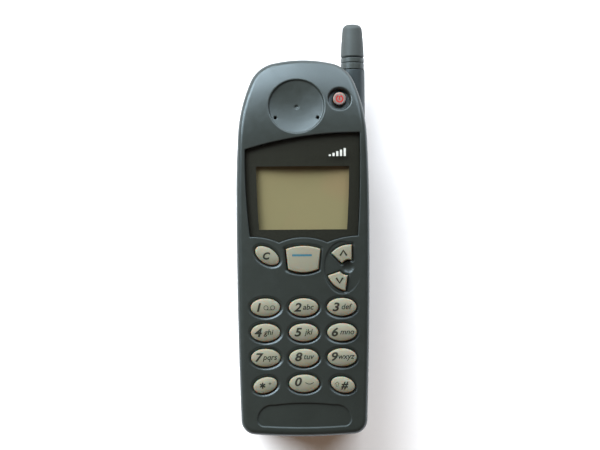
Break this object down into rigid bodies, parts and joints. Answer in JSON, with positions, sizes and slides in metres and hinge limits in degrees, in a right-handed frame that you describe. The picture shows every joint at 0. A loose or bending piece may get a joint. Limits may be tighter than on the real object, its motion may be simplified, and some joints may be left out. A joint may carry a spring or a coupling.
{
  "type": "mobile phone",
  "caption": "Candy-bar mobile phone with stub antenna: key pad, display window, lift-off front cover, swing-off battery pack with sprung catch, SIM card and volume rocker.",
  "frame": {"origin": "centre of the battery's flat back, on which the phone lies", "axes": "+X to the right as the user looks at the keys, +Y towards the antenna, +Z out of the key face"},
  "size_m": [0.0469, 0.146, 0.032],
  "materials": {
    "cover_plastic": "semi-matte moulded",
    "rear_plastic": "fine matte moulded",
    "battery_plastic": "fine matte moulded",
    "window_plastic": "clear hard-coated acrylic",
    "mask_print": "dark satin print",
    "key_rubber": "satin silicone",
    "power_rubber": "satin silicone",
    "antenna_rubber": "matte",
    "antenna_plastic": "matte moulded",
    "seal_rubber": "matte",
    "chassis_metal": "cast, lightly blasted",
    "shield_metal": "tinned",
    "screw_metal": "plated",
    "board": "solder mask",
    "chip_plastic": "moulded",
    "contact_metal": "gold plated",
    "jack_metal": "nickel plated",
    "black_plastic": "moulded",
    "cell_metal": "drawn can",
    "frame_plastic": "moulded",
    "guide_plastic": "clear",
    "display_glass": "grey-green liquid crystal cell",
    "card_plastic": "white card"
  },
  "bodies": {
    "battery": {"battery_case": "battery_plastic", "battery_lid": "frame_plastic", "battery_cells": "cell_metal", "battery_contacts": "contact_metal", "catch_spring": "screw_metal"},
    "handset": {"rear_cover": "rear_plastic", "chassis": "chassis_metal", "main_board": "board", "board_chips": "chip_plastic", "baseband_shield": "shield_metal", "rf_shield": "shield_metal", "case_screws": "screw_metal", "lcd_frame": "frame_plastic", "light_guide": "guide_plastic", "lcd_connector": "seal_rubber", "lcd_glass": "display_glass", "keypad_board": "board", "key_domes": "contact_metal", "backlight_leds": "chip_plastic", "earpiece_speaker": "black_plastic", "buzzer": "black_plastic", "mic_boot": "seal_rubber", "microphone": "black_plastic", "system_connector": "black_plastic", "dc_jack": "jack_metal", "dc_jack_pin": "contact_metal", "sim_reader": "black_plastic", "battery_connector": "black_plastic", "backup_cell": "cell_metal", "side_switches": "black_plastic", "antenna_collar": "antenna_plastic", "antenna_core": "contact_metal", "antenna_cap": "antenna_rubber", "antenna_clip": "contact_metal"},
    "cover": {"front_cover": "cover_plastic", "display_window": "window_plastic", "window_mask": "mask_print", "keymat_web": "key_rubber", "earpiece_gasket": "seal_rubber"},
    "catch": {"battery_catch": "battery_plastic"},
    "sim": {"sim_card": "card_plastic"},
    "volume": {"volume_key": "cover_plastic"},
    "power": {"power_key": "power_rubber"},
    "key_1_cap": {"key_1": "key_rubber"},
    "key_2_cap": {"key_2": "key_rubber"},
    "key_3_cap": {"key_3": "key_rubber"},
    "key_4_cap": {"key_4": "key_rubber"},
    "key_5_cap": {"key_5": "key_rubber"},
    "key_6_cap": {"key_6": "key_rubber"},
    "key_7_cap": {"key_7": "key_rubber"},
    "key_8_cap": {"key_8": "key_rubber"},
    "key_9_cap": {"key_9": "key_rubber"},
    "key_0_cap": {"key_0": "key_rubber"},
    "key_star_cap": {"key_star": "key_rubber"},
    "key_hash_cap": {"key_hash": "key_rubber"},
    "key_c_cap": {"key_c": "key_rubber"},
    "key_menu_cap": {"key_menu": "key_rubber"},
    "key_up_cap": {"key_up": "key_rubber"},
    "key_down_cap": {"key_down": "key_rubber"}
  },
  "joints": [
    {"name": "cover_lift", "type": "slide", "parent": "handset", "child": "cover", "axis": [0, 0, 1], "range_m": [0, 0.02]},
    {"name": "battery_swing", "type": "hinge", "parent": "battery", "child": "handset", "pos_m": [0, -0.0662, 0.009], "axis": [1, 0, 0], "range_deg": [0, 25]},
    {"name": "catch_slide", "type": "slide", "parent": "battery", "child": "catch", "axis": [0, -1, 0], "range_m": [0, 0.002], "stiffness_N_per_m": 800, "springref_m": -0.0006, "deforming": ["catch_spring"]},
    {"name": "sim_slide", "type": "slide", "parent": "handset", "child": "sim", "axis": [0, -1, 0], "range_m": [0, 0.02]},
    {"name": "volume_tip", "type": "hinge", "parent": "handset", "child": "volume", "pos_m": [-0.02075, 0.026, 0.0187], "axis": [0, 0, 1], "range_deg": [-2, 2], "stiffness_Nm_per_rad": 0.25},
    {"name": "power_press", "type": "slide", "parent": "cover", "child": "power", "axis": [0, 0, -1], "range_m": [0, 0.0007], "stiffness_N_per_m": 1800, "springref_m": -0.0003},
    {"name": "key_1_press", "type": "slide", "parent": "cover", "child": "key_1_cap", "axis": [0, 0, -1], "range_m": [0, 0.0009], "stiffness_N_per_m": 1500, "springref_m": -0.0003},
    {"name": "key_2_press", "type": "slide", "parent": "cover", "child": "key_2_cap", "axis": [0, 0, -1], "range_m": [0, 0.0009], "stiffness_N_per_m": 1500, "springref_m": -0.0003},
    {"name": "key_3_press", "type": "slide", "parent": "cover", "child": "key_3_cap", "axis": [0, 0, -1], "range_m": [0, 0.0009], "stiffness_N_per_m": 1500, "springref_m": -0.0003},
    {"name": "key_4_press", "type": "slide", "parent": "cover", "child": "key_4_cap", "axis": [0, 0, -1], "range_m": [0, 0.0009], "stiffness_N_per_m": 1500, "springref_m": -0.0003},
    {"name": "key_5_press", "type": "slide", "parent": "cover", "child": "key_5_cap", "axis": [0, 0, -1], "range_m": [0, 0.0009], "stiffness_N_per_m": 1500, "springref_m": -0.0003},
    {"name": "key_6_press", "type": "slide", "parent": "cover", "child": "key_6_cap", "axis": [0, 0, -1], "range_m": [0, 0.0009], "stiffness_N_per_m": 1500, "springref_m": -0.0003},
    {"name": "key_7_press", "type": "slide", "parent": "cover", "child": "key_7_cap", "axis": [0, 0, -1], "range_m": [0, 0.0009], "stiffness_N_per_m": 1500, "springref_m": -0.0003},
    {"name": "key_8_press", "type": "slide", "parent": "cover", "child": "key_8_cap", "axis": [0, 0, -1], "range_m": [0, 0.0009], "stiffness_N_per_m": 1500, "springref_m": -0.0003},
    {"name": "key_9_press", "type": "slide", "parent": "cover", "child": "key_9_cap", "axis": [0, 0, -1], "range_m": [0, 0.0009], "stiffness_N_per_m": 1500, "springref_m": -0.0003},
    {"name": "key_0_press", "type": "slide", "parent": "cover", "child": "key_0_cap", "axis": [0, 0, -1], "range_m": [0, 0.0009], "stiffness_N_per_m": 1500, "springref_m": -0.0003},
    {"name": "key_star_press", "type": "slide", "parent": "cover", "child": "key_star_cap", "axis": [0, 0, -1], "range_m": [0, 0.0009], "stiffness_N_per_m": 1500, "springref_m": -0.0003},
    {"name": "key_hash_press", "type": "slide", "parent": "cover", "child": "key_hash_cap", "axis": [0, 0, -1], "range_m": [0, 0.0009], "stiffness_N_per_m": 1500, "springref_m": -0.0003},
    {"name": "key_c_press", "type": "slide", "parent": "cover", "child": "key_c_cap", "axis": [0, 0, -1], "range_m": [0, 0.0009], "stiffness_N_per_m": 1500, "springref_m": -0.0003},
    {"name": "key_menu_press", "type": "slide", "parent": "cover", "child": "key_menu_cap", "axis": [0, 0, -1], "range_m": [0, 0.0009], "stiffness_N_per_m": 1500, "springref_m": -0.0003},
    {"name": "key_up_press", "type": "slide", "parent": "cover", "child": "key_up_cap", "axis": [0, 0, -1], "range_m": [0, 0.0009], "stiffness_N_per_m": 1500, "springref_m": -0.0003},
    {"name": "key_down_press", "type": "slide", "parent": "cover", "child": "key_down_cap", "axis": [0, 0, -1], "range_m": [0, 0.0009], "stiffness_N_per_m": 1500, "springref_m": -0.0003}
  ]
}
